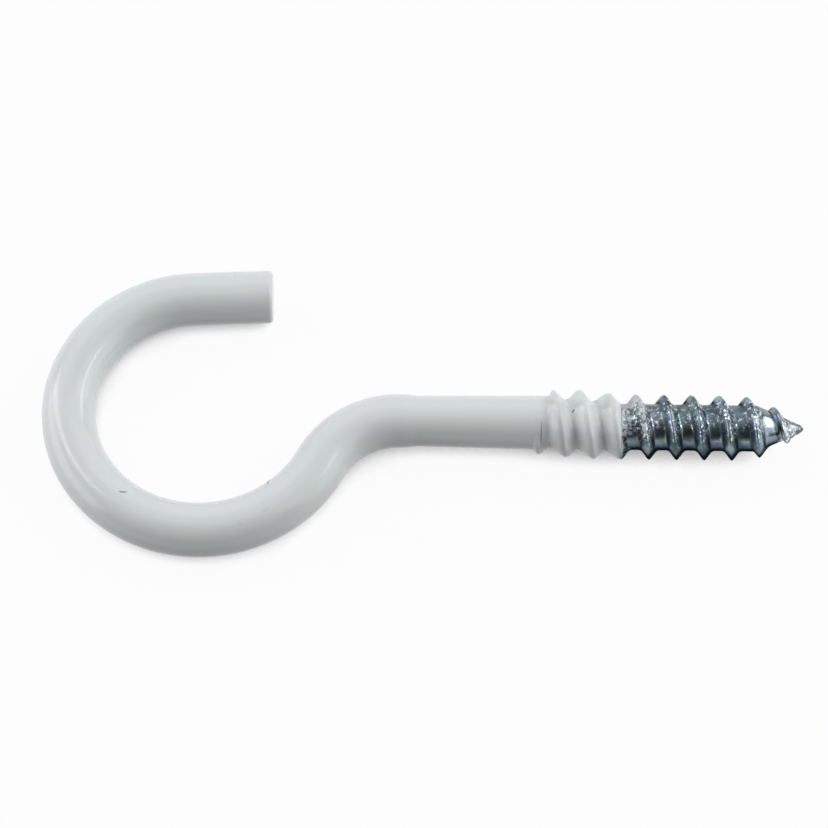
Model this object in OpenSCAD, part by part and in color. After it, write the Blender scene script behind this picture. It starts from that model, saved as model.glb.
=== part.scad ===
// Screw hook: one length of steel wire, bent to an open bow at one end and rolled with a wood
// thread and a gimlet point at the other. It is zinc plated all over, and a white film covers
// the hook, the shank and the first turns of the thread.
//
// It lies flat. The screw's axis runs along X with the point towards +X, and the bow lies in
// the XY plane, with its mouth open towards +Y and +X. The origin is on the screw's axis, where
// the plain shank ends and the thread starts.

/* [Wire] */
// Diameter of the bare wire
wire_d = 4.8; // [4.6:0.1:5.4]
// Thickness of the white film
film = 0.08; // [0.02:0.01:0.12]
// Rounding of the edge where the wire was cut off
cut_round = 0.4; // [0.1:0.05:1]

/* [Shank] */
// Plain length between the thread and the neck
shank_len = 12; // [6:0.5:40]
// Bare diameter at the shank's slimmest place, where the bending drew it down
slim_d = 4.52; // [4.4:0.02:4.8]
// Length over which it thickens again towards the neck
slim_run = 1.6; // [0.5:0.1:3]

/* [Neck] */
// Radius of the neck's bend, at the middle of the wire
neck_r = 8.1; // [6:0.1:14]
// Angle that the neck turns away from the shank
neck_angle = 63.6; // [50:0.2:70]

/* [Bow] */
// Radius of the bow, at the middle of the wire
bow_r = 12.3; // [10:0.1:18]
// Angle that the bow turns through at this radius
bow_angle = 151; // [120:1:165]
// Radius of the bow's last part, which closes a little tighter
top_r = 11.6; // [9:0.1:18]
// Angle that the last part turns through
top_angle = 89.5; // [60:0.5:95]
// Straight length at the open end
end_len = 7.2; // [3:0.1:9]

/* [Thread] */
// Length from the thread's start to the tip
thread_len = 25; // [18:0.5:40]
// Diameter over the crest
thread_d = 6; // [5.6:0.1:6.6]
// Diameter of the root between the turns
root_d = 4.25; // [4:0.05:4.6]
// Distance from one turn to the next
pitch = 2.54; // [2.2:0.02:3]
// Width of the flat on top of the crest
crest_flat = 0.16; // [0.08:0.02:0.3]
// Angle of each flank, away from square to the axis
flank_angle = 32; // [25:1:36]
// Where the crest first crosses the +Y side
first_crest = 1.74; // [1.4:0.02:2.4]
// Length of thread that the white film covers
film_len = 8.2; // [3:0.1:14]

/* [Point] */
// Length of the cone that the root runs down
point_len = 4; // [3.5:0.1:8]
// Diameter at the end of that cone
tip_d = 0.7; // [0.3:0.05:1.2]
// Length of the blunt tip beyond it
tip_len = 0.3; // [0.1:0.05:0.8]
// Length before the tip over which the crest runs out
crest_fade = 6.8; // [4:0.1:9]

/* [Hidden] */

$fn = 64;

filmed_d = wire_d + 2 * film;
// Each bend in turn: its radius, its angle, and 1 to the left or -1 to the right
bends = [
    [neck_r, neck_angle, 1],
    [bow_r, bow_angle, -1],
    [top_r, top_angle, -1],
];
// Every second length of wire is finer by this hair and runs on a little way into its
// neighbours, so that they join through each other and not at a bare face
hair = 0.01;
lap = 0.03;
// Turns a shape's own Z to lie along X
along_x = [90, 0, 90];

// The thread's mesh: meridians round the axis, and lanes that follow the ridge
meridians = 48;
lane_count = 5;
// Lanes closer than this to an end ring join it
ring_gap = 0.06;
// The core leaves the wire's size for the root's over the first turn
sink_from = 0.25 * pitch;
sink_to = 0.8 * pitch;
// The ridge reaches its full height in this length
rise_len = 0.75 * pitch;
// A ridge's foot is laid out for at least this height, and stays this close to its middle
least_rise = 0.15;
widest_foot = 0.45 * pitch;
ridge_h = (thread_d - root_d) / 2;
point_at = thread_len - tip_len - point_len;

// ---- the bent wire ----

// One bend of the wire, from the origin along +X. It turns left for side 1 and right for -1.
module bend(radius, angle, side, fine) {
    over = fine ? lap / radius * 180 / PI : 0;
    translate([0, side * radius, 0])
        rotate((side > 0 ? -90 : 90 - angle) - over)
            rotate_extrude(angle = angle + 2 * over)
                translate([radius, 0]) circle(d = filmed_d - (fine ? hair : 0));
}

// The bends one after another, each starting where the last one ended, then the straight end
module wire_from(i) {
    if (i < len(bends)) {
        radius = bends[i][0];
        angle = bends[i][1];
        side = bends[i][2];
        bend(radius, angle, side, i % 2 == 0);
        translate([0, side * radius, 0]) rotate(side * angle) translate([0, -side * radius, 0])
            wire_from(i + 1);
    } else {
        cut_end();
    }
}

// The straight end: its outline has a rounded corner at the cut, turned about the wire's axis
module cut_end() {
    r = filmed_d / 2;
    corner_steps = 6;
    corner = [for (i = [0 : corner_steps])
        let (a = 90 * i / corner_steps)
        [r - cut_round + cut_round * cos(a), end_len - cut_round + cut_round * sin(a)]];
    rotate(along_x)
        rotate_extrude() polygon(concat([[0, 0], [r, 0]], corner, [[0, end_len]]));
}

// The plain shank, from the thread back to the neck, drawn down a little before the neck
module shank() {
    slim = slim_d + 2 * film;
    rotate(along_x) {
        cylinder(h = shank_len - slim_run, d1 = filmed_d, d2 = slim);
        translate([0, 0, shank_len - slim_run])
            cylinder(h = slim_run, d1 = slim, d2 = filmed_d);
    }
}

module filmed_wire() {
    color("white") rotate(180) {
        shank();
        translate([shank_len, 0, 0]) wire_from(0);
    }
}

// ---- the thread ----

function mix(a, b, t) = a + (b - a) * t;
// 0 before a, 1 after b, and an S between them
function ramp(x, a, b) = let (t = max(0, min(1, (x - a) / (b - a)))) t * t * (3 - 2 * t);

// Radius of the core: the wire at first, then the root, then the point's cone
function core_r(x) = x < point_at
    ? mix(wire_d, root_d, ramp(x, sink_from, sink_to)) / 2
    : mix(root_d, tip_d, (x - point_at) / point_len) / 2;

// Radius of the crest where the ridge's middle is at x
function crest_r(x) = min(
    mix(wire_d, thread_d, ramp(x, 0, rise_len)) / 2,
    core_r(x) + ridge_h * sqrt(max(0, min(1, (thread_len - x) / crest_fade))));

// Half the width of the crest's flat, which a film widens
function flat_half(skin) = crest_flat / 2 + skin * tan(45 - flank_angle / 2);

// The ridge's middle is a helix: it moves on by one pitch in each turn
function ridge_x(n, turn) = first_crest + pitch * (n + turn);

// Radius of the surface at x, a share of a turn round from +Y towards +Z
function thread_r(x, turn, skin) =
    let (n = round((x - first_crest) / pitch - turn),
         middle = ridge_x(n, turn),
         down_flank = max(0, abs(x - middle) - flat_half(skin)) / tan(flank_angle))
    skin + max(core_r(x), crest_r(middle) - down_flank);

// The lanes of one turn: ridge's foot, crest, crest, foot, and the middle of the groove
function lane_x(k, turn, skin) =
    let (n = floor(k / lane_count),
         middle = ridge_x(n, turn),
         flat = flat_half(skin),
         rise = max(least_rise, crest_r(middle) - core_r(middle)),
         foot = min(flat + rise * tan(flank_angle), widest_foot))
    middle + [-foot, -flat, flat, foot, pitch / 2][k - n * lane_count];

// A closed length of thread between two flat ends, or with a blunt tip when nose is over 0
module thread_between(x_from, x_to, skin, nose = 0) {
    first = lane_count * (floor((x_from - first_crest) / pitch) - 2);
    last = lane_count * (ceil((x_to - first_crest) / pitch) + 1);
    rows = last - first + 1;
    // Lanes beyond an end gather on its ring
    xs = [for (j = [0 : meridians - 1], k = [first : last])
        let (x = lane_x(k, j / meridians, skin))
        x < x_from + ring_gap ? x_from : x > x_to - ring_gap ? x_to : x];
    // One turn further round, a lane has become the one that is lane_count further along
    function at(j, k) = j < meridians
        ? j * rows + k
        : min(k + lane_count, rows - 1);
    surface = [for (i = [0 : len(xs) - 1])
        let (turn = floor(i / rows) / meridians, r = thread_r(xs[i], turn, skin))
        [xs[i], r * cos(360 * turn), r * sin(360 * turn)]];
    skin_faces = [for (j = [0 : meridians - 1], k = [0 : rows - 2])
        let (a = at(j, k), b = at(j, k + 1), c = at(j + 1, k), d = at(j + 1, k + 1))
        each [if (xs[a] < xs[b]) [a, b, c], if (xs[c] < xs[d]) [b, d, c]]];
    // Both ends close on a point of the axis
    start = len(xs);
    tip = start + 1;
    end_faces = [for (j = [0 : meridians - 1]) each [
        [at(j, 0), at(j + 1, 0), start],
        [at(j + 1, rows - 1), at(j, rows - 1), tip]]];
    polyhedron(
        points = concat(surface, [[x_from, 0, 0], [x_to + nose, 0, 0]]),
        faces = concat(skin_faces, end_faces));
}

module filmed_thread() {
    color("white") thread_between(-lap, film_len, film - hair);
}

module bare_thread() {
    color("silver") thread_between(film_len - lap, thread_len - tip_len, 0, tip_len);
}

// One solid: the film and the plating are finishes on a single piece of wire
module screw_hook() {
    filmed_wire();
    filmed_thread();
    bare_thread();
}

screw_hook();
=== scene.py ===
# %% [markdown]
# # A coated screw hook
#
# The real object is one length of steel wire. One end is bent round a mandrel into an open bow,
# the other is rolled between two dies into a coarse wood thread with a gimlet point. All of it is
# zinc plated, and then the hook is coated white down to the first turns of the thread.
#
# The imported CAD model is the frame: it says where everything is. This script makes two pieces over
# it, the white film and the bare zinc thread, and gives each the surface that the real one has.

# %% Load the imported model
import math

import bpy
from mathutils import Matrix, Vector


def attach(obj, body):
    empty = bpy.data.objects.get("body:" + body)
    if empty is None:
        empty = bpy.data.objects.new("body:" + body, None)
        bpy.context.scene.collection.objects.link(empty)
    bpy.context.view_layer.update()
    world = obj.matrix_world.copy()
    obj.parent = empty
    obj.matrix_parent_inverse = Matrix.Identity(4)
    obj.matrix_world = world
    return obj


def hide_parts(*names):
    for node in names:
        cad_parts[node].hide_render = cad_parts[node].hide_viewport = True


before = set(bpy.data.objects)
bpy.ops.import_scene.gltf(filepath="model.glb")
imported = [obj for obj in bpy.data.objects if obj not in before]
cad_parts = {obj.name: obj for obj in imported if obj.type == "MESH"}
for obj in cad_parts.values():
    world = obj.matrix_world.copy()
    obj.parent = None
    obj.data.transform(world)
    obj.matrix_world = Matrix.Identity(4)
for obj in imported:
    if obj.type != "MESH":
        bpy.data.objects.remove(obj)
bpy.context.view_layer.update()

MM = 0.001

# %% [markdown]
# ## Sizes
#
# The wire and the thread keep the sizes of the CAD model. The thread's diameter, root and pitch
# are those of an ordinary 6 mm wood screw. Lengths are written in millimetres, as on a drawing,
# and are multiplied by MM where Blender takes them, because it works in metres. Chance marks of a
# real hook have sizes too: its thread lies a little off the wire's middle, and the shears left its
# cut end a little long and off square.

# %% The hook's sizes, in millimetres and degrees
WIRE_D = 4.8
FILM = 0.072             # a hair less than the CAD model's, to stay inside its facets
SHANK_LEN = 12.0
SLIM_D = 4.52            # the shank's slimmest place, just before the neck
SLIM_RUN = 1.6
BENDS = [                # radius, angle, and 1 for a bend to the left or -1 to the right
    (8.1, 63.6, 1),      # the neck
    (12.3, 151.0, -1),   # the bow
    (11.6, 89.5, -1),    # its last part
]
END_LEN = 7.2
CUT_ROUND = 0.4
CUT_LONG = 0.21          # how much further out the middle of the cut stands
CUT_LEAN = 0.03          # and how much more for each millimetre to its outer side
CUT_REACH = 3.0          # the length of wire that this draws out

THREAD_LEN = 25.0
THREAD_D = 6.0
ROOT_D = 4.25
PITCH = 2.54
FLANK_ANGLE = 32.0
FIRST_CREST = 1.74
FILM_LEN = 8.2
POINT_LEN = 4.0
TIP_D = 0.76             # a little blunter than the CAD model's
TIP_LEN = 0.3
CREST_FADE = 6.8
DRIFT = 0.31             # the dies rolled the thread this far off the wire's middle
DRIFT_RUN = 8.3
print(f"wire {WIRE_D} mm, thread {THREAD_D} mm over the crest with a pitch of {PITCH} mm")

# %% [markdown]
# ## One helper for every node
#
# Shader trees and geometry trees are both made of nodes, settings and links. One small function
# adds a node of any kind, sets what it is given, and links whatever comes in as a socket.

# %% Add a node with its settings and links
def add(tree, kind, inputs=None, **settings):
    """Adds a node. inputs gives a socket a value, or the output socket that feeds it."""
    node = tree.nodes.new(kind)
    for name, value in settings.items():
        setattr(node, name, value)
    for socket, value in (inputs or {}).items():
        if isinstance(value, bpy.types.NodeSocket):
            tree.links.new(value, node.inputs[socket])
        else:
            node.inputs[socket].default_value = value
    return node


print("nodes are added in Blender", bpy.app.version_string)

# %% [markdown]
# ## A formula as a list of steps
#
# A formula in nodes soon becomes a knot of links. Here it is a list that reads from top to bottom:
# each step has a name, says what is done, and lists the terms that it takes, which are numbers or
# the names of earlier steps. A loop turns the list into nodes, so the list is all there is to
# read.

# %% Turn a list of steps into nodes
RAMPS = ("LINEAR", "SMOOTHSTEP")   # take x, where they start and end, and the values there


def work_out(tree, value, steps):
    """Adds the nodes of a formula, and keeps each step's result in value under its name."""
    for name, doing, *terms in steps:
        kind, setting = (("ShaderNodeMapRange", "interpolation_type") if doing in RAMPS
                         else ("ShaderNodeMath", "operation"))
        inputs = {i: value.get(term, term) for i, term in enumerate(terms)}
        value[name] = add(tree, kind, inputs, **{setting: doing}).outputs[0]


print("steps are ramps or sums, and the ramps are", *RAMPS)

# %% [markdown]
# ## Trees with named sizes
#
# A geometry tree is easier to trust when each size that it uses has a name and comes in from
# outside, like the dimensions in a drawing's title block. A new tree gets one input socket for
# each.

# %% Start a geometry tree from a list of sizes
def new_tree(name, sizes):
    """A geometry tree with a named input for each size, and those inputs by name."""
    tree = bpy.data.node_groups.new(name, "GeometryNodeTree")
    for size, kind in sizes.items():
        tree.interface.new_socket(size, in_out="INPUT", socket_type="NodeSocket" + kind)
    tree.interface.new_socket("Mesh", in_out="OUTPUT", socket_type="NodeSocketGeometry")
    inputs = add(tree, "NodeGroupInput").outputs
    return tree, {socket.name: socket for socket in inputs if socket.name}


THREAD_SIZES = {name: "Float" for name in (
    "Start", "End", "Nose", "Pitch", "First Crest", "Wire Radius", "Crest Radius", "Root Radius",
    "Skin", "Flank Slope", "Crest Rounding", "Root Rounding", "Sink From", "Sink To", "Rise Length",
    "Point Start", "Point Length", "Tip Radius", "Length", "Fade Length", "Run Out", "Lead In",
    "Lead Skew", "Ragged", "Uneven", "Uneven Scale", "Lean", "Drift", "Drift Run", "Bead",
    "Bead At", "Bead Size", "Turns", "Seed", "Close Start")}
THREAD_SIZES |= {name: "Int" for name in ("First Turn", "Columns", "Rows")}
print(f"the thread has {len(THREAD_SIZES)} named sizes")

# %% [markdown]
# ## A wound thread
#
# The dies press the thread's ridge up out of the wire as one long helix. A Screw modifier could
# turn a profile into such a ridge, but it would be the same all along, and its start on the wire
# and its end on the point would be left to mend by hand. A thread is also a rule: the surface's
# distance from the axis depends only on how far a spot is from the ridge's middle, and the ridge
# moves on by one pitch in each turn. A rule holds at the ends as well, so this is the way taken
# here.
#
# The tree starts from a flat grid, one turn wide and as many turns long as the thread. Each row
# winds round the axis along with the ridge, and the rows crowd together on the crest, where the
# shape is tightest.

# %% Wind a grid round the axis
TURN = 2 * math.pi
CROWDING = 0.75          # 0 spaces the rows evenly, and near 1 they gather on the crest


def wind_grid(tree, value):
    """A grid that is one turn across, and each point's turn and its free place on the axis."""
    grid = add(tree, "GeometryNodeMeshGrid", {
        "Size X": 1.0, "Size Y": value["Turns"],
        "Vertices X": value["Columns"], "Vertices Y": value["Rows"]})
    position = add(tree, "GeometryNodeInputPosition").outputs[0]
    spot = add(tree, "ShaderNodeSeparateXYZ", {0: position}).outputs
    value |= {"across": spot[0], "along": spot[1]}
    work_out(tree, value, [
        ("turn", "ADD", "across", 0.5),
        ("angle", "MULTIPLY", "turn", TURN),
        ("cos", "COSINE", "angle"),
        ("sin", "SINE", "angle"),
        ("half", "MULTIPLY", "Turns", 0.5),
        ("middle row", "ADD", "First Turn", "half"),
        ("row", "ADD", "along", "middle row"),
        ("row angle", "MULTIPLY", "row", TURN),
        ("wave", "SINE", "row angle"),
        ("crowded row", "MULTIPLY_ADD", "wave", -CROWDING / TURN, "row"),
        ("wound", "ADD", "crowded row", "turn"),
        ("free x", "MULTIPLY_ADD", "wound", "Pitch", "First Crest"),
    ])
    return grid.outputs[0]


print(f"on the crest a row takes {1 - CROWDING:.0%} of its even share of the pitch")

# %% [markdown]
# ### Its two ends
#
# Rows past either end gather on that end's ring. Wet coating crept along the grooves, so the
# film's ring is ragged: a noise round the axis moves it to and fro.

# %% Gather the rows at the ends
TATTERS = 3.0            # changes of the ragged edge in the length of one radius


def end_rows(tree, value):
    """Each point's place on the axis between the two ends, and its direction from the axis."""
    around = add(tree, "ShaderNodeCombineXYZ", {"Y": value["cos"], "Z": value["sin"]}).outputs[0]
    value["tatter"] = add(tree, "ShaderNodeTexNoise", {
        "Vector": around, "W": value["Seed"], "Scale": TATTERS, "Detail": 4.0},
        noise_dimensions="4D").outputs[0]
    work_out(tree, value, [
        ("ragged", "MULTIPLY_ADD", "tatter", "Ragged", "End"),
        ("before end", "MINIMUM", "free x", "ragged"),
        ("x", "MAXIMUM", "before end", "Start"),
    ])
    return around


print(f"the ragged edge changes about {math.pi * 2 * TATTERS:.0f} times in a turn")

# %% [markdown]
# ### Ridge and groove
#
# The core is the wire at first, then the root, then the point's cone. The crest rises out of the
# wire over the first turn and runs out on the point. Rolled metal has a narrow crest and a crisp
# root, but wet paint draws back from a crest and gathers in the root, so both roundings are sizes.
# The crest is a hyperbola, because a plain rounded corner leaves a line along its top.

# %% Shape the ridge and the groove
def shape_thread(tree, value):
    """The outside's distance from the axis, before it is roughened."""
    work_out(tree, value, [
        # How far this spot lies from the nearest ridge, and where that ridge is
        ("from first", "SUBTRACT", "x", "First Crest"),
        ("pitches", "DIVIDE", "from first", "Pitch"),
        ("turns on", "SUBTRACT", "pitches", "turn"),
        ("ridge number", "ROUND", "turns on"),
        ("off ridge", "SUBTRACT", "turns on", "ridge number"),
        ("off", "ABSOLUTE", "off ridge"),
        # A ridge that leans has a gentle flank behind it and a steep one ahead
        ("leaning", "MULTIPLY", "off ridge", "Lean"),
        ("leant", "ADD", "off", "leaning"),
        ("distance", "MULTIPLY", "leant", "Pitch"),
        ("ridge turns", "ADD", "ridge number", "turn"),
        ("ridge x", "MULTIPLY_ADD", "ridge turns", "Pitch", "First Crest"),
        # The core
        ("sunk", "SMOOTHSTEP", "x", "Sink From", "Sink To", "Wire Radius", "Root Radius"),
        ("point end", "ADD", "Point Start", "Point Length"),
        ("cone", "LINEAR", "x", "Point Start", "point end", "Root Radius", "Tip Radius"),
        ("cone at ridge", "LINEAR", "ridge x", "Point Start", "point end", "Root Radius",
         "Tip Radius"),
        ("lost to cone", "SUBTRACT", "Root Radius", "cone"),
        ("core", "SUBTRACT", "sunk", "lost to cone"),
        # The crest
        ("rising", "SMOOTHSTEP", "ridge x", 0.0, "Rise Length", "Wire Radius", "Crest Radius"),
        ("full height", "SUBTRACT", "Crest Radius", "Root Radius"),
        ("fade start", "SUBTRACT", "Length", "Fade Length"),
        ("fade", "LINEAR", "ridge x", "fade start", "Length", 1.0, 0.0),
        ("root of fade", "SQRT", "fade"),
        ("run out from", "SUBTRACT", "Length", "Run Out"),
        ("ending", "SMOOTHSTEP", "ridge x", "run out from", "Length", 1.0, 0.0),
        ("left of it", "MULTIPLY", "root of fade", "ending"),
        ("running out", "MULTIPLY_ADD", "left of it", "full height", "cone at ridge"),
        ("crest", "MINIMUM", "rising", "running out"),
        # The ridge's two flanks, with a rounded crest and a rounded root
        ("distance squared", "MULTIPLY", "distance", "distance"),
        ("slant squared", "MULTIPLY_ADD", "Crest Rounding", "Crest Rounding", "distance squared"),
        ("slant", "SQRT", "slant squared"),
        ("past crest", "SUBTRACT", "slant", "Crest Rounding"),
        ("drop", "DIVIDE", "past crest", "Flank Slope"),
        ("ridge", "SUBTRACT", "crest", "drop"),
        ("height", "SUBTRACT", "crest", "core"),
        ("share", "LINEAR", "height", 0.0, "full height", 0.0, 1.0),
        ("rounding", "MULTIPLY", "share", "Root Rounding"),
        ("metal", "SMOOTH_MAX", "core", "ridge", "rounding"),
        ("outside", "ADD", "metal", "Skin"),
    ])


print(f"the ridge stands {(THREAD_D - ROOT_D) / 2:.3f} mm over the root")

# %% [markdown]
# ### A surface that was rolled and coated
#
# The dies don't start square to the wire, so the ridge begins later on one side than on the other.
# They and the coating leave the surface a little uneven. The noise only ever takes away, which
# keeps the piece inside the CAD model's box. One bead of wet coating dried on a crest.

# %% Start the thread askew and leave it uneven
BEAD_NARROW = 3.0        # the larger it is, the less far the bead reaches round the axis


def roughen(tree, value, around):
    """The point's distance from the axis."""
    axis = add(tree, "ShaderNodeCombineXYZ", {0: value["x"]}).outputs[0]
    out = add(tree, "ShaderNodeVectorMath", {0: around, "Scale": value["Root Radius"]},
              operation="SCALE").outputs[0]
    place = add(tree, "ShaderNodeVectorMath", {0: axis, 1: out}, operation="ADD").outputs[0]
    value["noise"] = add(tree, "ShaderNodeTexNoise", {
        "Vector": place, "W": value["Seed"], "Scale": value["Uneven Scale"], "Detail": 2.0},
        noise_dimensions="4D").outputs[0]
    work_out(tree, value, [
        ("facing y", "MULTIPLY_ADD", "cos", 0.5, 0.5),
        ("lead from", "MULTIPLY_ADD", "facing y", "Lead Skew", "Start"),
        ("lead end", "ADD", "lead from", "Lead In"),
        ("leading", "SMOOTHSTEP", "x", "lead from", "lead end", 0.0, 1.0),
        ("lead", "MAXIMUM", "leading", "Close Start"),
        ("plain", "ADD", "Wire Radius", "Skin"),
        ("gain", "SUBTRACT", "outside", "plain"),
        ("led", "MULTIPLY_ADD", "gain", "lead", "plain"),
        ("loss", "MULTIPLY", "noise", "Uneven"),
        ("led loss", "MULTIPLY", "loss", "lead"),
        ("even", "SUBTRACT", "led", "led loss"),
        # The bead, on the side that hung lowest
        ("from bead", "SUBTRACT", "x", "Bead At"),
        ("bead away", "DIVIDE", "from bead", "Bead Size"),
        ("bead squared", "MULTIPLY", "bead away", "bead away"),
        ("bead side", "SUBTRACT", 1.0, "cos"),
        ("bead reach", "MULTIPLY_ADD", "bead side", BEAD_NARROW, "bead squared"),
        ("bead height", "SMOOTHSTEP", "bead reach", 0.0, 1.0, "Bead", 0.0),
        ("radius", "ADD", "even", "bead height"),
    ])


bead_half = math.degrees(math.acos(1 - 1 / BEAD_NARROW))
print(f"the bead reaches {bead_half:.0f} degrees to each side")

# %% [markdown]
# ### Every point to its place
#
# The first and last rows can close on the axis, so that the mesh has no hole. Then each point goes
# out from the axis by its radius, and the whole thread drifts off the wire's middle as it gets
# further from the shank.

# %% Close the ends and place every point
EDGE_WIDTH = 0.001       # in turns: a row that lies this near the grid's edge is its last


def place_rows(tree, value, grid):
    """Moves the grid's points to the thread's surface."""
    work_out(tree, value, [
        ("edge", "SUBTRACT", "half", EDGE_WIDTH),
        ("is last", "GREATER_THAN", "along", "edge"),
        ("other edge", "MULTIPLY", "edge", -1.0),
        ("is first", "LESS_THAN", "along", "other edge"),
        ("closed first", "MULTIPLY", "is first", "Close Start"),
        ("closed", "ADD", "is last", "closed first"),
        ("open", "SUBTRACT", 1.0, "closed"),
        ("r", "MULTIPLY", "radius", "open"),
        ("nose x", "ADD", "End", "Nose"),
        ("to nose", "SUBTRACT", "nose x", "x"),
        ("end x", "MULTIPLY_ADD", "is last", "to nose", "x"),
        ("drift", "SMOOTHSTEP", "end x", 0.0, "Drift Run", 0.0, "Drift"),
        ("upright", "MULTIPLY", "r", "cos"),
        ("y", "SUBTRACT", "upright", "drift"),
        ("z", "MULTIPLY", "r", "sin"),
    ])
    wound = add(tree, "ShaderNodeCombineXYZ", {0: value["end x"], 1: value["y"], 2: value["z"]})
    placed = add(tree, "GeometryNodeSetPosition", {"Geometry": grid, "Position": wound.outputs[0]})
    add(tree, "NodeGroupOutput", {"Mesh": placed.outputs[0]})


def thread_group():
    """The wound thread, as a group that the pieces' trees use."""
    tree, value = new_tree("wound_thread", THREAD_SIZES)
    grid = wind_grid(tree, value)
    around = end_rows(tree, value)
    shape_thread(tree, value)
    roughen(tree, value, around)
    place_rows(tree, value, grid)
    return tree


wound_thread = thread_group()
print(f"thread tree: {len(wound_thread.nodes)} nodes")

# %% [markdown]
# ## The wire's middle line
#
# On the real hook the shank is straight and each bend was pulled round a mandrel, so the middle of
# the wire is a chain of straight lines and arcs. A curve could be drawn by hand, but arcs written
# as radius and angle stay round and meet without a kink. The last points crowd towards the cut
# end, so that its rounded corner has enough rings.

# %% Draw the middle line from its bends
def middle_line(step=0.3, corner_steps=8):
    """Points in millimetres, from the start of the thread to the cut end."""
    points = [Vector((0.0, 0.0, 0.0))]
    heading = math.pi

    def evenly(length):
        count = math.ceil(length / step)
        return [length * (i + 1) / count for i in range(count)]

    def straight(spots):
        start = points[-1]
        way = Vector((math.cos(heading), math.sin(heading), 0.0))
        points.extend([start + way * spot for spot in spots])

    straight(evenly(SHANK_LEN))
    for radius, angle, side in BENDS:
        turn = math.radians(angle)
        centre = points[-1] + side * radius * Vector((-math.sin(heading), math.cos(heading), 0.0))
        for arc in evenly(radius * turn):
            h = heading + side * arc / radius
            points.append(centre + side * radius * Vector((math.sin(h), -math.cos(h), 0.0)))
        heading += side * turn
    corner = [END_LEN - CUT_ROUND * (1 - math.sin(math.pi / 2 * i / corner_steps))
              for i in range(corner_steps + 1)]
    straight(evenly(END_LEN - CUT_ROUND)[:-1] + corner)
    return points


path = middle_line()
wire_line = bpy.data.meshes.new("wire_middle_line")
wire_line.from_pydata([spot * MM for spot in path], [(i, i + 1) for i in range(len(path) - 1)], [])
print(f"middle line: {len(path)} points, "
      f"{sum((b - a).length for a, b in zip(path, path[1:])):.1f} mm, ends at {path[-1]}")

# %% [markdown]
# ## A tree for the filmed hook
#
# The film covers the bow, the neck, the shank and the first turns of the thread without a seam, so
# it is one closed skin. A curve with a bevel could stand for the wire, but it has one thickness
# all along. Here a ring is swept along the middle line with a radius that follows how far along
# the wire it is: the shank is drawn down a little before the neck, and the cut edge is rounded.

# %% Sweep the wire
HOOK_SIZES = {"Middle Line": "Geometry", "Sides": "Int"} | {name: "Float" for name in (
    "Film Radius", "Slim Radius", "Slim At", "Slim End", "Cut Rounding", "Cut X", "Cut Y",
    "Cut Long", "Cut Lean", "Cut Reach")}


def sweep_wire(tree, value):
    """The film over the wire, with a cap at each end."""
    line = add(tree, "GeometryNodeMeshToCurve", {"Mesh": value["Middle Line"]})
    value["run"] = add(tree, "GeometryNodeSplineParameter").outputs["Length"]
    value["whole"] = add(tree, "GeometryNodeSplineLength").outputs["Length"]
    work_out(tree, value, [
        ("drawn", "LINEAR", "run", 0.0, "Slim At", "Film Radius", "Slim Radius"),
        ("regain", "SUBTRACT", "Film Radius", "Slim Radius"),
        ("regained", "SMOOTHSTEP", "run", "Slim At", "Slim End", 0.0, "regain"),
        ("full", "ADD", "drawn", "regained"),
        # The cut edge is a quarter circle
        ("left", "SUBTRACT", "whole", "run"),
        ("into corner", "SUBTRACT", "Cut Rounding", "left"),
        ("corner", "MAXIMUM", "into corner", 0.0),
        ("corner squared", "MULTIPLY", "corner", "corner"),
        ("rounding squared", "MULTIPLY", "Cut Rounding", "Cut Rounding"),
        ("rest squared", "SUBTRACT", "rounding squared", "corner squared"),
        ("rest", "MAXIMUM", "rest squared", 0.0),
        ("kept", "SQRT", "rest"),
        ("cut away", "SUBTRACT", "Cut Rounding", "kept"),
        ("radius", "SUBTRACT", "full", "cut away"),
    ])
    ring = add(tree, "GeometryNodeCurvePrimitiveCircle", {
        "Resolution": value["Sides"], "Radius": 1.0})
    return add(tree, "GeometryNodeCurveToMesh", {
        "Curve": line.outputs[0], "Profile Curve": ring.outputs[0], "Scale": value["radius"],
        "Fill Caps": True}).outputs[0]


print(f"the hook has {len(HOOK_SIZES)} named sizes more than the thread")

# %% [markdown]
# ### The cut end and the thread
#
# The shears drew the end out a little and left the cut off square, so its points move along the
# wire, further on the outer side. Only what lies well to the mouth's side moves, so that the shank
# stays. Then the sweep's cap at the thread is taken off, and the wound thread is merged on there,
# ring to ring.

# %% Lean the cut and join the thread
MERGE = 0.001 * MM       # points closer than this become one


def lean_cut(tree, value, swept, position):
    """The swept wire with its cut end drawn out."""
    spot = add(tree, "ShaderNodeSeparateXYZ", {0: position}).outputs
    value |= {"x": spot[0], "y": spot[1]}
    work_out(tree, value, [
        ("from", "SUBTRACT", "Cut X", "Cut Reach"),
        ("near cut", "SMOOTHSTEP", "x", "from", "Cut X", 0.0, 1.0),
        ("side", "SUBTRACT", "y", "Cut Y"),
        ("longer", "MULTIPLY_ADD", "side", "Cut Lean", "Cut Long"),
        ("in mouth", "GREATER_THAN", "y", "Cut Reach"),
        ("moved", "MULTIPLY", "near cut", "longer"),
        ("move", "MULTIPLY", "moved", "in mouth"),
    ])
    drawn_out = add(tree, "ShaderNodeCombineXYZ", {0: value["move"]}).outputs[0]
    return add(tree, "GeometryNodeSetPosition", {
        "Geometry": swept, "Offset": drawn_out}).outputs[0]


def thread_part(tree, value):
    """The wound thread with this tree's own sizes."""
    return add(tree, "GeometryNodeGroup", {name: value[name] for name in THREAD_SIZES},
               node_tree=wound_thread).outputs[0]


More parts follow.
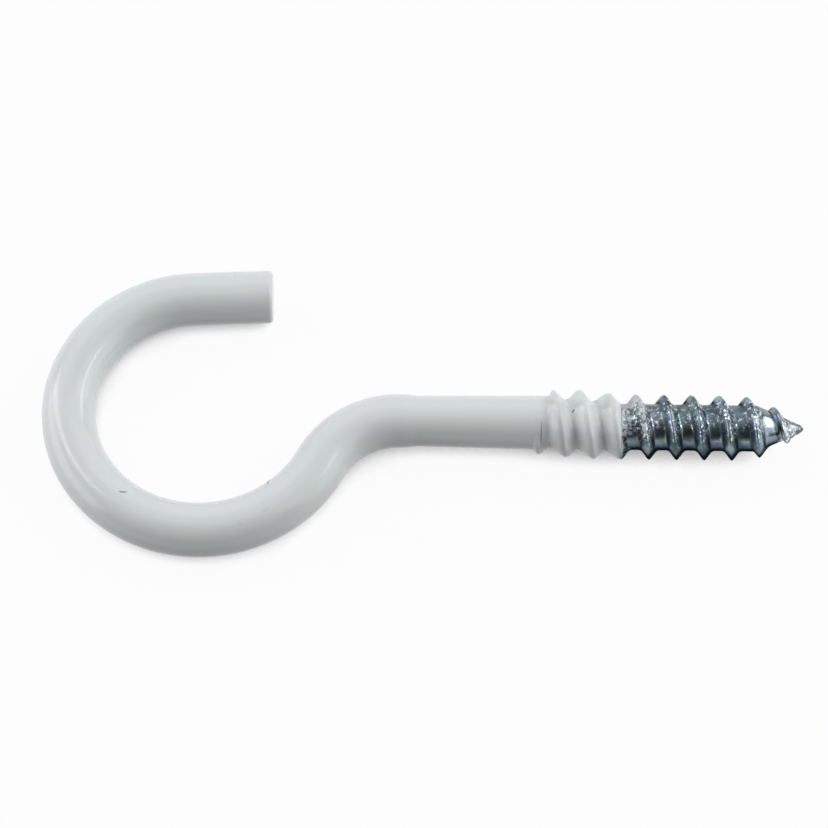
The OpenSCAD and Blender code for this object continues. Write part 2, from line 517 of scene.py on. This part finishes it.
def finish_tree(tree, value, mesh):
    """Closes the seams, and ends the tree as a smooth mesh of its own material."""
    merged = add(tree, "GeometryNodeMergeByDistance", {"Geometry": mesh, "Distance": MERGE})
    smooth = add(tree, "GeometryNodeSetShadeSmooth", {"Geometry": merged.outputs[0]})
    real = add(tree, "GeometryNodeRealizeInstances", {"Geometry": smooth.outputs[0]})
    dressed = add(tree, "GeometryNodeSetMaterial", {
        "Geometry": real.outputs[0], "Material": value["Material"]})
    add(tree, "NodeGroupOutput", {"Mesh": dressed.outputs[0]})
    return tree


def hook_tree():
    """The filmed hook: the swept wire and the filmed turns of the thread, as one skin."""
    tree, value = new_tree("filmed_hook", HOOK_SIZES | THREAD_SIZES | {"Material": "Material"})
    swept = sweep_wire(tree, value)
    position = add(tree, "GeometryNodeInputPosition").outputs[0]
    swept = lean_cut(tree, value, swept, position)
    # The cap at the thread is the only face whose middle is at the origin
    middle = add(tree, "ShaderNodeVectorMath", {0: position}, operation="LENGTH")
    cap = add(tree, "ShaderNodeMath", {
        0: middle.outputs["Value"], 1: value["Slim Radius"]}, operation="LESS_THAN")
    opened = add(tree, "GeometryNodeDeleteGeometry", {
        "Geometry": swept, "Selection": cap.outputs[0]}, domain="FACE")
    # A Join node takes any number of links at its one socket
    joined = add(tree, "GeometryNodeJoinGeometry", {0: opened.outputs[0]})
    tree.links.new(thread_part(tree, value), joined.inputs[0])
    return finish_tree(tree, value, joined.outputs[0])


filmed_hook = hook_tree()
print(f"hook tree: {len(filmed_hook.nodes)} nodes")

# %% [markdown]
# ## A tree for the bare thread
#
# The zinc runs under the film, and starts half a millimetre inside it, so that no gap shows at the
# film's edge. It needs nothing but the wound thread, closed at both ends.

# %% Build the bare thread's tree
def zinc_tree():
    """The bare end of the thread, from under the film to the tip."""
    tree, value = new_tree("bare_thread", THREAD_SIZES | {"Material": "Material"})
    return finish_tree(tree, value, thread_part(tree, value))


bare_thread = zinc_tree()
print(f"bare thread's tree: {len(bare_thread.nodes)} nodes")

# %% [markdown]
# ## From a tree to a plain mesh
#
# The tree is run once on a host mesh. What it makes becomes the piece, and the modifier goes, so
# the piece is plain geometry in the frame's own place, like the CAD node that it stands for.

# %% Grow a piece from a tree
def grow(name, tree, sizes, host=None):
    """Runs the tree with these sizes, and keeps the mesh that it makes."""
    piece = bpy.data.objects.new(name, host or bpy.data.meshes.new(name))
    bpy.context.scene.collection.objects.link(piece)
    modifier = piece.modifiers.new(name, "NODES")
    modifier.node_group = tree
    for item in tree.interface.items_tree:
        if item.in_out == "INPUT" and item.name in sizes:
            modifier[item.identifier] = sizes[item.name]
    graph = bpy.context.evaluated_depsgraph_get()
    grown = bpy.data.meshes.new_from_object(piece.evaluated_get(graph), depsgraph=graph)
    grown.name = name
    piece.modifiers.clear()
    piece.data = grown
    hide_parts("screw_hook")
    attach(piece, "root")
    grown.calc_loop_triangles()
    print(f"{name}: {len(grown.loop_triangles)} triangles")


print("trees so far:", *[tree.name for tree in bpy.data.node_groups])

# %% [markdown]
# ## Materials from colours and grains
#
# Each material takes its colours as hex codes, as a paint shop would name them. Blender's shaders
# want linear values, so one function turns them. Each pattern is a noise with a grain in
# millimetres, on Object coordinates, so it keeps its true size on the hook and stays with it.

# %% Read a hex colour, and start a material with its noises
MIX_A, MIX_B, MIXED = 6, 7, 2   # a Mix node's colour sockets, and its colour result


def colour(code):
    """An sRGB hex colour as the linear values that a shader takes."""
    parts = [int(code[i:i + 2], 16) / 255 for i in (1, 3, 5)]
    return (*[c / 12.92 if c <= 0.04045 else ((c + 0.055) / 1.055) ** 2.4 for c in parts], 1.0)


def empty_material(name):
    """A material with nothing in its tree, and that tree."""
    material = bpy.data.materials.new(name)
    material.use_nodes = True
    material.node_tree.nodes.clear()
    return material, material.node_tree


def new_material(name, noises):
    """An empty material, and noises of a named grain in mm, detail and roughness."""
    material, tree = empty_material(name)
    where = add(tree, "ShaderNodeTexCoord").outputs["Object"]
    value = {}
    for noise, (grain, detail, rough) in noises.items():
        value[noise] = add(tree, "ShaderNodeTexNoise", {
            "Vector": where, "Scale": 1 / (grain * MM), "Detail": detail,
            "Roughness": rough}).outputs[0]
    return material, tree, where, value


print("mid grey in linear light:", [round(c, 3) for c in colour("#808080")])

# %% [markdown]
# ## Marks on the film
#
# Handling has left a few nicks, each a short arc where something struck the film. They could be
# painted, but a painted image is tied to one unwrapping. Every mark is the same small rule
# instead: the spot is turned into the mark's own place and size, so that the mark is wherever the
# result is shorter than 1.

# %% Where the film is marked
MARKS = [  # middle in mm, heading in degrees, length, width and depth in mm, bend, strength
    ((-36.80, -8.80, 2.42), 2, (0.98, 0.18, 0.8), -1.4, 0.75),     # a curved nick on the bow
    ((-23.84, -7.07, 1.46), 80, (1.60, 0.16, 2.0), 0.0, 0.8),      # a short scratch inside the bow
    ((-27.81, 14.60, 1.64), 0, (0.22, 0.20, 0.4), 0.0, 0.8),       # a pinhole
    ((3.70, 0.04, 2.25), 57, (0.56, 0.17, 0.8), 0.6, 1.0),         # a chip in a groove
    ((0.80, -1.75, 1.30), 90, (3.00, 0.13, 3.0), 0.0, 0.7),        # where the dies' edge stopped
    ((-23.96, -10.37, 2.38), 25, (0.90, 0.40, 0.8), 0.0, 0.08),    # two faint rubs
    ((-26.18, -11.69, 2.27), 160, (0.80, 0.35, 0.8), 0.0, 0.08),
]


def marks_on(tree, where):
    """How much each spot is marked, from 0 to 1."""
    marked = 0.0
    for middle, heading, size, bend, strength in MARKS:
        local = add(tree, "ShaderNodeMapping", {
            "Vector": where, "Location": Vector(middle) * MM, "Scale": Vector(size) * MM / 2,
            "Rotation": (0.0, 0.0, math.radians(heading))}, vector_type="TEXTURE")
        parts = add(tree, "ShaderNodeSeparateXYZ", {0: local.outputs[0]}).outputs
        value = {"along": parts[0], "across": parts[1], "deep": parts[2], "marked": marked}
        work_out(tree, value, [
            ("along squared", "MULTIPLY", "along", "along"),
            ("bent", "MULTIPLY_ADD", "along squared", bend, "across"),
            ("bent squared", "MULTIPLY", "bent", "bent"),
            ("deep squared", "MULTIPLY", "deep", "deep"),
            ("flat", "ADD", "along squared", "bent squared"),
            ("reach", "ADD", "flat", "deep squared"),
            ("mark", "SMOOTHSTEP", "reach", 0.3, 1.0, strength, 0.0),
            ("marked", "MAXIMUM", "marked", "mark"),
        ])
        marked = value["marked"]
    return marked


print(f"{len(MARKS)} marks on the film")

# %% [markdown]
# ## White coating on plated steel
#
# The hook was coated after plating, by powder or by dipping. Such a film is a cool white plastic,
# so it has no metal in it and an IOR of 1.5. To the eye it is a soft gloss: broad pale reflections
# with a faint orange peel a little under a millimetre across, and a slower waviness under it.
# Narrow lights leave clear streaks on it and wide ones a pale sheen, which is what a roughness of
# 0.13 to 0.21 gives. In the thread it ran round the grooves and dried in greyer streaks, and these
# streaks are also painted shade in the grooves.

# %% Make the white coating
RUN_GRAIN = 0.8 * MM             # width of a dried run
RUN_STRETCH = (1.0, 0.12, 0.12)  # runs go round the wire, so the noise is drawn out that way


def white_coating():
    """White coating: cool white, a soft gloss, faint orange peel, dried runs and a few nicks.
    The runs in the thread are partly painted shade in its grooves.
    """
    material, tree, where, value = new_material("white_coating", {
        "peel": (0.8, 2.0, 0.5), "wave": (4.0, 1.0, 0.5), "grain": (1.6, 4.0, 0.5),
        "slow": (6.0, 1.0, 0.5)})
    value["marked"] = marks_on(tree, where)
    round_about = add(tree, "ShaderNodeVectorMath", {0: where, 1: RUN_STRETCH},
                      operation="MULTIPLY").outputs[0]
    value["runs"] = add(tree, "ShaderNodeTexNoise", {
        "Vector": round_about, "Scale": 1 / RUN_GRAIN, "Detail": 3.0}).outputs[0]
    value["x"] = add(tree, "ShaderNodeSeparateXYZ", {0: where}).outputs[0]
    work_out(tree, value, [
        ("tint", "LINEAR", "slow", 0.4, 0.65, 0.0, 1.0),
        # Greyer in the thread: partly dried runs, partly painted shade in the grooves
        ("in thread", "SMOOTHSTEP", "x", 0.4 * MM, 1.4 * MM, 0.0, 0.22),
        ("streak", "SMOOTHSTEP", "runs", 0.45, 0.68, 0.0, 1.0),
        ("streaked", "MULTIPLY", "streak", "in thread"),
        ("gloss", "LINEAR", "grain", 0.3, 0.7, 0.13, 0.21),
        ("rough", "MULTIPLY_ADD", "marked", 0.3, "gloss"),
        # Heights are in millimetres
        ("dent", "MULTIPLY", "marked", -0.030),
        ("peel height", "MULTIPLY_ADD", "peel", 0.004, "dent"),
        ("height", "MULTIPLY_ADD", "wave", 0.030, "peel height"),
    ])
    layer = colour("#DFE5E4")
    for share, code in (("tint", "#E0E4E6"), ("streaked", "#A9A9B2"), ("marked", "#66706F")):
        layer = add(tree, "ShaderNodeMix", {0: value[share], MIX_A: layer, MIX_B: colour(code)},
                    data_type="RGBA").outputs[MIXED]
    bump = add(tree, "ShaderNodeBump", {"Height": value["height"], "Distance": MM})
    shader = add(tree, "ShaderNodeBsdfPrincipled", {
        "Base Color": layer, "Roughness": value["rough"], "Normal": bump.outputs[0], "IOR": 1.5})
    add(tree, "ShaderNodeOutputMaterial", {"Surface": shader.outputs[0]})
    return material


coating = white_coating()
print(f"{coating.name}: {len(coating.node_tree.nodes)} nodes")

# %% [markdown]
# ## Bright zinc plating
#
# Zinc plated on a rolled thread is a cool blue-grey metal, with a thin passivation film that turns
# blue, green or violet from place to place. Much of what is seen on it follows the thread, so the
# material first works out how far past the ridge each spot lies. Next to the white film some of
# the coating is left on the metal, most of it on the crests.

# %% Find the ridge, and what coating is left on it
ON_THREAD = [
    # From -0.5 to 0.5 of the way to the next ridge
    ("from axis", "ADD", "y", DRIFT * MM),
    ("angle", "ARCTAN2", "z", "from axis"),
    ("turn", "DIVIDE", "angle", TURN),
    ("from first", "SUBTRACT", "x", FIRST_CREST * MM),
    ("pitches", "DIVIDE", "from first", PITCH * MM),
    ("turns on", "SUBTRACT", "pitches", "turn"),
    ("past ridge", "WRAP", "turns on", 0.5, -0.5),
    ("off crest", "ABSOLUTE", "past ridge"),
]
COATED_TO = FILM_LEN + 5.5   # how far along the thread some coating is left, in mm
COATING_LEFT = [
    # Less of it the further it is from the film's edge
    ("near", "LINEAR", "x", FILM_LEN * MM, (FILM_LEN + 4.5) * MM, 1.0, 0.0),
    ("left on", "LINEAR", "near", 0.0, 1.0, 0.28, 0.60),
    ("on top", "LINEAR", "z", 0.0, THREAD_D / 2 * MM, -0.12, 0.06),
    ("reach", "ADD", "left on", "on top"),
    ("on crest", "SMOOTHSTEP", "off crest", 0.02, 0.16, 0.15, 0.0),
    ("crest reach", "MULTIPLY_ADD", "on crest", "near", "reach"),
    # and more of it on the side of the bow's mouth, where the first two crests stay white
    ("high near", "LINEAR", "x", (FILM_LEN + 1.0) * MM, COATED_TO * MM, 0.45, 0.0),
    ("high side", "LINEAR", "from axis", 0.8 * MM, 2.6 * MM, 0.0, 1.0),
    ("high reach", "MULTIPLY_ADD", "high side", "high near", "crest reach"),
    ("over", "SUBTRACT", "high reach", "patch"),
    ("coated", "SMOOTHSTEP", "over", 0.0, 0.14, 0.0, 0.75),
]
print(f"coating is left up to {COATED_TO:.1f} mm along the thread")

# %% [markdown]
# ### Bright places and dark ones
#
# The dies leave the flank that they pressed against scuffed, so the light breaks up into sparks
# there. Pale specks on the upper side of those flanks and on the tip are partly polish and
# partly painted glints. The point's cone was left smooth and light, and its last part is rubbed.
# The corner at each ridge's foot, more so low down, and the underside are darkened: painted shade.

# %% Find the pale specks, partly painted glints, and the painted shade
CONE_FROM, CONE_TO = 20.2 * MM, 21.0 * MM       # where the point turns smooth and light
RUBBED_FROM, RUBBED_TO = 22.4 * MM, 23.2 * MM   # and where it is rubbed
# Pale specks on the upper side and the tip: partly polish, partly painted glints
POLISH_AND_GLINTS = [
    ("off flank", "SUBTRACT", "past ridge", 0.16),
    ("from flank", "ABSOLUTE", "off flank"),
    ("flank", "SMOOTHSTEP", "from flank", 0.05, 0.20, 0.12, 0.0),
    ("near specks", "MULTIPLY_ADD", "near", 0.09, "flank"),
    ("on tip", "SMOOTHSTEP", "x", RUBBED_FROM, RUBBED_TO, 0.0, 1.0),
    ("specks", "ADD", "near specks", "speck"),
    ("worn", "SMOOTHSTEP", "specks", 0.57, 0.67, 0.0, 1.0),
    ("upper side", "SMOOTHSTEP", "z", 1.5 * MM, 2.1 * MM, 0.0, 1.0),
    ("tip side", "ADD", "on tip", "upper side"),
    ("open side", "MINIMUM", "tip side", 1.0),
    ("polished", "MULTIPLY", "worn", "open side"),
    ("on cone", "SMOOTHSTEP", "x", CONE_FROM, CONE_TO, 0.0, 0.4),
    ("mottled", "LINEAR", "mottle", 0.36, 0.64, 0.0, 0.7),
    ("shade", "ADD", "mottled", "on cone"),
    ("rubbed", "MULTIPLY", "on tip", 0.5),
]
# Painted shade: darker at each ridge's foot, more so low down, and over the underside
PAINTED_SHADE = [
    ("off foot", "SUBTRACT", "off crest", 0.24),
    ("from foot", "ABSOLUTE", "off foot"),
    ("at foot", "SMOOTHSTEP", "from foot", 0.02, 0.10, 1.0, 0.0),
    ("low", "SMOOTHSTEP", "z", 1.0 * MM, 2.2 * MM, 0.80, 0.25),
    ("foot", "MULTIPLY", "at foot", "low"),
    ("under", "SMOOTHSTEP", "z", -0.2 * MM, 1.3 * MM, 0.90, 0.0),
    ("stained", "MAXIMUM", "foot", "under"),
    ("clean", "SUBTRACT", 1.0, "polished"),
    ("dark spots", "MULTIPLY", "stained", "clean"),
    # Less painted shade on the tip
    ("tip stain", "MULTIPLY_ADD", "on tip", -0.45, 1.0),
    ("dark", "MULTIPLY", "dark spots", "tip stain"),
]
print(f"{len(POLISH_AND_GLINTS)} steps to the bright places, {len(PAINTED_SHADE)} to the dark ones")

# %% [markdown]
# ### The zinc's colours and its gloss
#
# The metal is bare wherever no coating is left. Its colours go on in layers: the zinc's own
# mottled grey, the passivation's faint tints, then rubbing, painted shade, specks that are partly
# polish and partly painted glints, and coating. The eye sees a grey metal that sparkles along the
# ridges and goes dark in the corners and at its lower edge, where the dark is painted shade. That
# painted shade also dulls grazing reflections, through the shader's tint for the edge.

# %% Make the zinc plating
TINT_GRAIN = 1.2 * MM
TINT_SHARE = 0.26
GLOSS = [
    ("metal", "SUBTRACT", 1.0, "coated"),
    ("gloss", "LINEAR", "mottle", 0.38, 0.62, 0.50, 0.27),
    ("matt", "MULTIPLY_ADD", "coated", 0.15, "gloss"),
    ("smoother", "MULTIPLY_ADD", "on cone", -0.25, "matt"),
    ("tip grain", "MULTIPLY_ADD", "on tip", 0.12, "smoother"),
    ("rough", "MULTIPLY_ADD", "polished", -0.12, "tip grain"),
    # Heights are in millimetres
    ("scuff depth", "LINEAR", "flank", 0.0, 0.13, 0.012, 0.08),
    ("off tip", "MULTIPLY_ADD", "on tip", -0.85, 1.0),
    ("scuffs", "MULTIPLY", "scuff", "off tip"),
    ("scuff height", "MULTIPLY", "scuffs", "scuff depth"),
    ("height", "MULTIPLY_ADD", "coated", 0.03, "scuff height"),
]


def zinc_plating():
    """Bright zinc on rolled steel: cool grey, passivated and scuffed, with flecks of coating."""
    # Real scuffs are finer than these 0.28 mm, which is as fine as they show
    material, tree, where, value = new_material("bright_zinc_plating", {
        "mottle": (1.3, 4.0, 0.55), "patch": (0.5, 4.0, 0.65), "scuff": (0.28, 3.0, 0.7),
        "speck": (0.34, 2.0, 0.6)})
    tints = add(tree, "ShaderNodeTexNoise", {
        "Vector": where, "Scale": 1 / TINT_GRAIN, "Detail": 1.0}).outputs["Color"]
    parts = add(tree, "ShaderNodeSeparateXYZ", {0: where}).outputs
    value |= {"x": parts[0], "y": parts[1], "z": parts[2]}
    for steps in (ON_THREAD, COATING_LEFT, POLISH_AND_GLINTS, PAINTED_SHADE, GLOSS):
        work_out(tree, value, steps)
    layer = add(tree, "ShaderNodeMix", {
        0: value["shade"], MIX_A: colour("#52636B"), MIX_B: colour("#9EAFB9")},
        data_type="RGBA").outputs[MIXED]
    layer = add(tree, "ShaderNodeMix", {0: TINT_SHARE, MIX_A: layer, MIX_B: tints},
                data_type="RGBA", blend_type="OVERLAY").outputs[MIXED]
    # The dark layer is painted shade, and the pale specks are partly painted glints
    for share, code in (("rubbed", "#A4A8A7"), ("dark", "#1D2A30"), ("polished", "#EAF2F8"),
                        ("coated", "#D2D6D8")):
        layer = add(tree, "ShaderNodeMix", {0: value[share], MIX_A: layer, MIX_B: colour(code)},
                    data_type="RGBA").outputs[MIXED]
    # The edge tint follows the painted shade, and darkens reflections at a grazing look
    edge = add(tree, "ShaderNodeMix", {
        0: value["dark"], MIX_A: colour("#FFFFFF"), MIX_B: colour("#4A565C")}, data_type="RGBA")
    bump = add(tree, "ShaderNodeBump", {"Height": value["height"], "Distance": MM})
    shader = add(tree, "ShaderNodeBsdfPrincipled", {
        "Base Color": layer, "Roughness": value["rough"], "Metallic": value["metal"],
        "Specular Tint": edge.outputs[MIXED], "Normal": bump.outputs[0]})
    add(tree, "ShaderNodeOutputMaterial", {"Surface": shader.outputs[0]})
    return material


plating = zinc_plating()
print(f"{plating.name}: {len(plating.node_tree.nodes)} nodes")

# %% [markdown]
# ## Sizes for a length of thread
#
# Both pieces take the same thread, so its sizes are filled in once, and each piece then says only
# what differs. Lengths become metres here.

# %% Fill in the thread's sizes
SIDES = 96
ROWS_PER_TURN = 28


def thread_sizes(start, end, finish):
    """The thread's sizes in metres. finish gives, in millimetres, what differs in this piece."""
    turns_from = math.floor((start - FIRST_CREST) / PITCH) - 1
    turns_to = math.ceil((end - FIRST_CREST) / PITCH) + 1
    lengths = {
        "Start": start, "End": end, "Nose": 0.0, "Pitch": PITCH, "First Crest": FIRST_CREST,
        "Wire Radius": WIRE_D / 2, "Crest Radius": THREAD_D / 2, "Root Radius": ROOT_D / 2,
        "Sink From": 0.25 * PITCH, "Sink To": 0.8 * PITCH, "Rise Length": 0.75 * PITCH,
        "Point Start": THREAD_LEN - TIP_LEN - POINT_LEN, "Point Length": POINT_LEN,
        "Tip Radius": TIP_D / 2, "Length": THREAD_LEN, "Fade Length": CREST_FADE, "Run Out": 1.6,
        "Drift": DRIFT, "Drift Run": DRIFT_RUN, "Skin": 0.0, "Lead In": 0.0, "Lead Skew": 0.0,
        "Ragged": 0.0, "Uneven": 0.0, "Bead": 0.0, "Bead At": 0.0, "Bead Size": 1.0,
    } | finish
    return {name: size * MM for name, size in lengths.items()} | {
        "Flank Slope": math.tan(math.radians(FLANK_ANGLE)), "Uneven Scale": 0.5 / MM, "Lean": 0.0,
        "First Turn": turns_from, "Turns": float(turns_to - turns_from),
        "Columns": SIDES + 1, "Rows": (turns_to - turns_from) * ROWS_PER_TURN + 1}


print(f"{SIDES} sides, {ROWS_PER_TURN} rows to a turn")

# %% [markdown]
# ## The white film
#
# One skin from the cut end to a ragged edge in the thread. A thick coating rounds the crests,
# fills the grooves and leans the ridges, and it makes the thread come up out of the wire more
# slowly.

# %% Grow the film
hook_sizes = thread_sizes(0.0, FILM_LEN, {
    "Skin": FILM, "Crest Rounding": 0.55, "Root Rounding": 1.0, "Lead In": 0.50, "Lead Skew": 1.50,
    "Ragged": -0.30, "Uneven": 0.02, "Sink From": 0.0, "Sink To": 4.0, "Rise Length": 1.0,
    "Bead": 0.22, "Bead At": 4.4, "Bead Size": 0.9})
hook_sizes |= {
    "Film Radius": (WIRE_D / 2 + FILM) * MM, "Slim Radius": (SLIM_D / 2 + FILM) * MM,
    "Slim At": (SHANK_LEN - SLIM_RUN) * MM, "Slim End": SHANK_LEN * MM,
    "Cut Rounding": CUT_ROUND * MM, "Cut X": path[-1].x * MM, "Cut Y": path[-1].y * MM,
    "Cut Long": CUT_LONG * MM, "Cut Lean": CUT_LEAN, "Cut Reach": CUT_REACH * MM,
    "Lean": 0.16, "Sides": SIDES, "Seed": 3.0, "Close Start": 0.0, "Material": coating}
grow("white_film", filmed_hook, hook_sizes, host=wire_line)

# %% [markdown]
# ## The bare zinc thread
#
# The rest of the thread down to its blunt tip, as the dies left it: a narrow crest and a small
# rounding in the root.

# %% Grow the bare thread
UNDER_FILM = 0.5         # length of it that is hidden by the film
zinc_sizes = thread_sizes(FILM_LEN - UNDER_FILM, THREAD_LEN - TIP_LEN, {
    "Nose": TIP_LEN, "Crest Rounding": 0.17, "Root Rounding": 0.55, "Uneven": 0.03})
zinc_sizes |= {"Seed": 8.0, "Close Start": 1.0, "Material": plating}
grow("bare_zinc_thread", bare_thread, zinc_sizes)

# %% [markdown]
# ## Light
#
# White walls on three sides light the hook softly, with little from the camera's side, so the wire
# goes from light to grey across its width. Two narrow lights leave streaks on the gloss of the
# bow. A few small lamps would do for a matt thing, but gloss and metal show the lamps themselves.
# So each lamp is a large panel that faces the hook, given by the two ends of its middle line, its
# width and how bright its face is: a larger panel gives more light and looks the same in a
# reflection.

# %% Soft panels round the hook
LAMPS = [  # name, two ends in metres, width in metres, brightness of its face
    ("wall_behind_low", (-0.60, 0.66, 0.18), (0.60, 0.66, 0.18), 0.36, 0.55),
    ("wall_behind_high", (-0.60, 0.48, 0.52), (0.60, 0.48, 0.52), 0.40, 0.80),
    ("wall_left_low", (-0.66, -0.40, 0.18), (-0.66, 0.40, 0.18), 0.36, 2.38),
    ("wall_left_high", (-0.48, -0.40, 0.52), (-0.48, 0.40, 0.52), 0.40, 0.35),
    ("wall_right_low", (0.66, -0.40, 0.18), (0.66, 0.40, 0.18), 0.36, 1.85),
    ("wall_right_high", (0.48, -0.40, 0.52), (0.48, 0.40, 0.52), 0.40, 1.32),
    ("panel_above", (-0.30, 0.05, 0.70), (0.30, 0.05, 0.70), 0.40, 0.70),
    ("strip_left", (-0.58, 0.40, 0.24), (-0.35, 0.02, 0.62), 0.13, 3.60),
    ("strip_right", (0.61, -0.10, 0.50), (0.55, 0.53, 0.33), 0.12, 4.00),
]


def add_lamp(name, end, other_end, width, brightness):
    """A panel between two ends, turned about its middle line to face the hook."""
    end, other_end = Vector(end), Vector(other_end)
    light = bpy.data.lights.new(name, "AREA")
    light.shape = "RECTANGLE"
    light.size, light.size_y = (other_end - end).length, width
    light.energy = brightness * math.pi * light.size * light.size_y
    middle = (end + other_end) / 2
    along = (other_end - end).normalized()
    back = (middle - middle.dot(along) * along).normalized()
    turned = Matrix((along, back.cross(along), back)).transposed().to_4x4()
    lamp = bpy.data.objects.new(name, light)
    lamp.matrix_world = Matrix.Translation(middle) @ turned
    lamp.visible_camera = False
    bpy.context.scene.collection.objects.link(lamp)


for lamp in LAMPS:
    add_lamp(*lamp)
print(f"{len(LAMPS)} panels")

# %% [markdown]
# ## Room
#
# What the panels leave open is a dim room, so that nothing on the metal is quite black.

# %% A dim room behind the panels
ROOM_LIGHT = 0.03
world = bpy.data.worlds.new("dim_room")
world.use_nodes = True
background = world.node_tree.nodes["Background"]
background.inputs["Color"].default_value = colour("#F4F7FA")
background.inputs["Strength"].default_value = ROOM_LIGHT
bpy.context.scene.world = world
print(f"room light {ROOM_LIGHT}")

# %% [markdown]
# ## Floor
#
# A sheet of white paper lies under the hook. A strong lamp would make it white, but would light
# the hook as well. So only what the camera and the metal see of it is brought up to white, and
# what it throws back at the hook stays that of a plain grey sheet, which keeps the wire's lower
# edge dark. Light that was added would wash the shadow out, so the added white fades wherever the
# hook covers the sky above the paper.
#
# The hook rests on its bow and on the film's crests, which stand out more than the wire, so the
# paper is tilted a little to touch both.

# %% The paper's surface
SHADOW_REACH = 6 * MM    # the sky is looked for this far out
DARKEST, OPEN = 0.08, 0.45   # open sky at the contact, and where the shadow ends
SHADE, WHITE = 0.10, 1.06    # brightness of the added white at these two
SEEN_SHARE = 0.9         # how much of what is seen is the added white


def white_paper():
    """Matt white paper: an even white with a soft shadow where the hook comes near it."""
    material, tree = empty_material("white_paper")
    matt = add(tree, "ShaderNodeBsdfDiffuse", {"Color": colour("#A0A0A0")})
    open_sky = add(tree, "ShaderNodeAmbientOcclusion", {"Distance": SHADOW_REACH}, samples=8)
    value = {"sky": open_sky.outputs["AO"]}
    work_out(tree, value, [("white", "LINEAR", "sky", DARKEST, OPEN, SHADE, WHITE)])
    white = add(tree, "ShaderNodeEmission", {"Strength": value["white"]})
    rays = add(tree, "ShaderNodeLightPath").outputs
    value |= {"camera": rays["Is Camera Ray"], "glossy": rays["Is Glossy Ray"],
              "through": rays["Is Transmission Ray"]}
    work_out(tree, value, [
        ("seen", "MAXIMUM", "camera", "glossy"),
        ("seen too", "MAXIMUM", "seen", "through"),
        ("share", "MULTIPLY", "seen too", SEEN_SHARE),
    ])
    both = add(tree, "ShaderNodeMixShader", {
        0: value["share"], 1: matt.outputs[0], 2: white.outputs[0]})
    add(tree, "ShaderNodeOutputMaterial", {"Surface": both.outputs[0]})
    return material


paper_white = white_paper()
print(f"{paper_white.name}: {len(paper_white.node_tree.nodes)} nodes")

# %% Lay the paper under the hook
PAPER_SIZE = 3.0
PAPER_TILT = -0.0122     # its rise along X
TOUCHES_AT = Vector((-0.045, 0.0, -0.00248))   # under the bow, in metres
half = PAPER_SIZE / 2
corners = [Vector((x, y, TOUCHES_AT.z + (x - TOUCHES_AT.x) * PAPER_TILT))
           for x, y in ((-half, -half), (half, -half), (half, half), (-half, half))]
paper_mesh = bpy.data.meshes.new("paper")
paper_mesh.from_pydata(corners, [], [(0, 1, 2, 3)])
paper_mesh.materials.append(paper_white)
paper = bpy.data.objects.new("paper", paper_mesh)
bpy.context.scene.collection.objects.link(paper)
print(f"paper {PAPER_SIZE} m wide, tilted {math.degrees(math.atan(-PAPER_TILT)):.2f} degrees")

# %% [markdown]
# ## Camera
#
# The camera looks down on the hook from the near side. A wide lens from close by would swell the
# bow and shrink the point, so it is a long lens at a quarter of a metre.

# %% Aim the camera
AIM = Vector((-10.81, 0.72, 0.0)) * MM
HEIGHT = 62.7            # degrees above the floor
DISTANCE = 250 * MM
ROLL = 0.79              # degrees
LENS = 118.1             # millimetres
SENSOR = 36              # the sensor's width in millimetres
camera_data = bpy.data.cameras.new("camera")
camera_data.sensor_width = SENSOR
camera_data.lens = LENS
camera = bpy.data.objects.new("camera", camera_data)
up = math.radians(HEIGHT)
way = Vector((0.0, -math.cos(up), math.sin(up)))
turn = Matrix.Rotation(math.radians(ROLL), 4, way)
camera.matrix_world = (Matrix.Translation(AIM + way * DISTANCE)
                       @ turn @ Matrix.Rotation(math.radians(90 - HEIGHT), 4, "X"))
bpy.context.scene.collection.objects.link(camera)
bpy.context.scene.camera = camera
bpy.context.scene.view_settings.view_transform = "Standard"
print(f"camera {DISTANCE / MM:.0f} mm away, {HEIGHT} degrees above the floor")
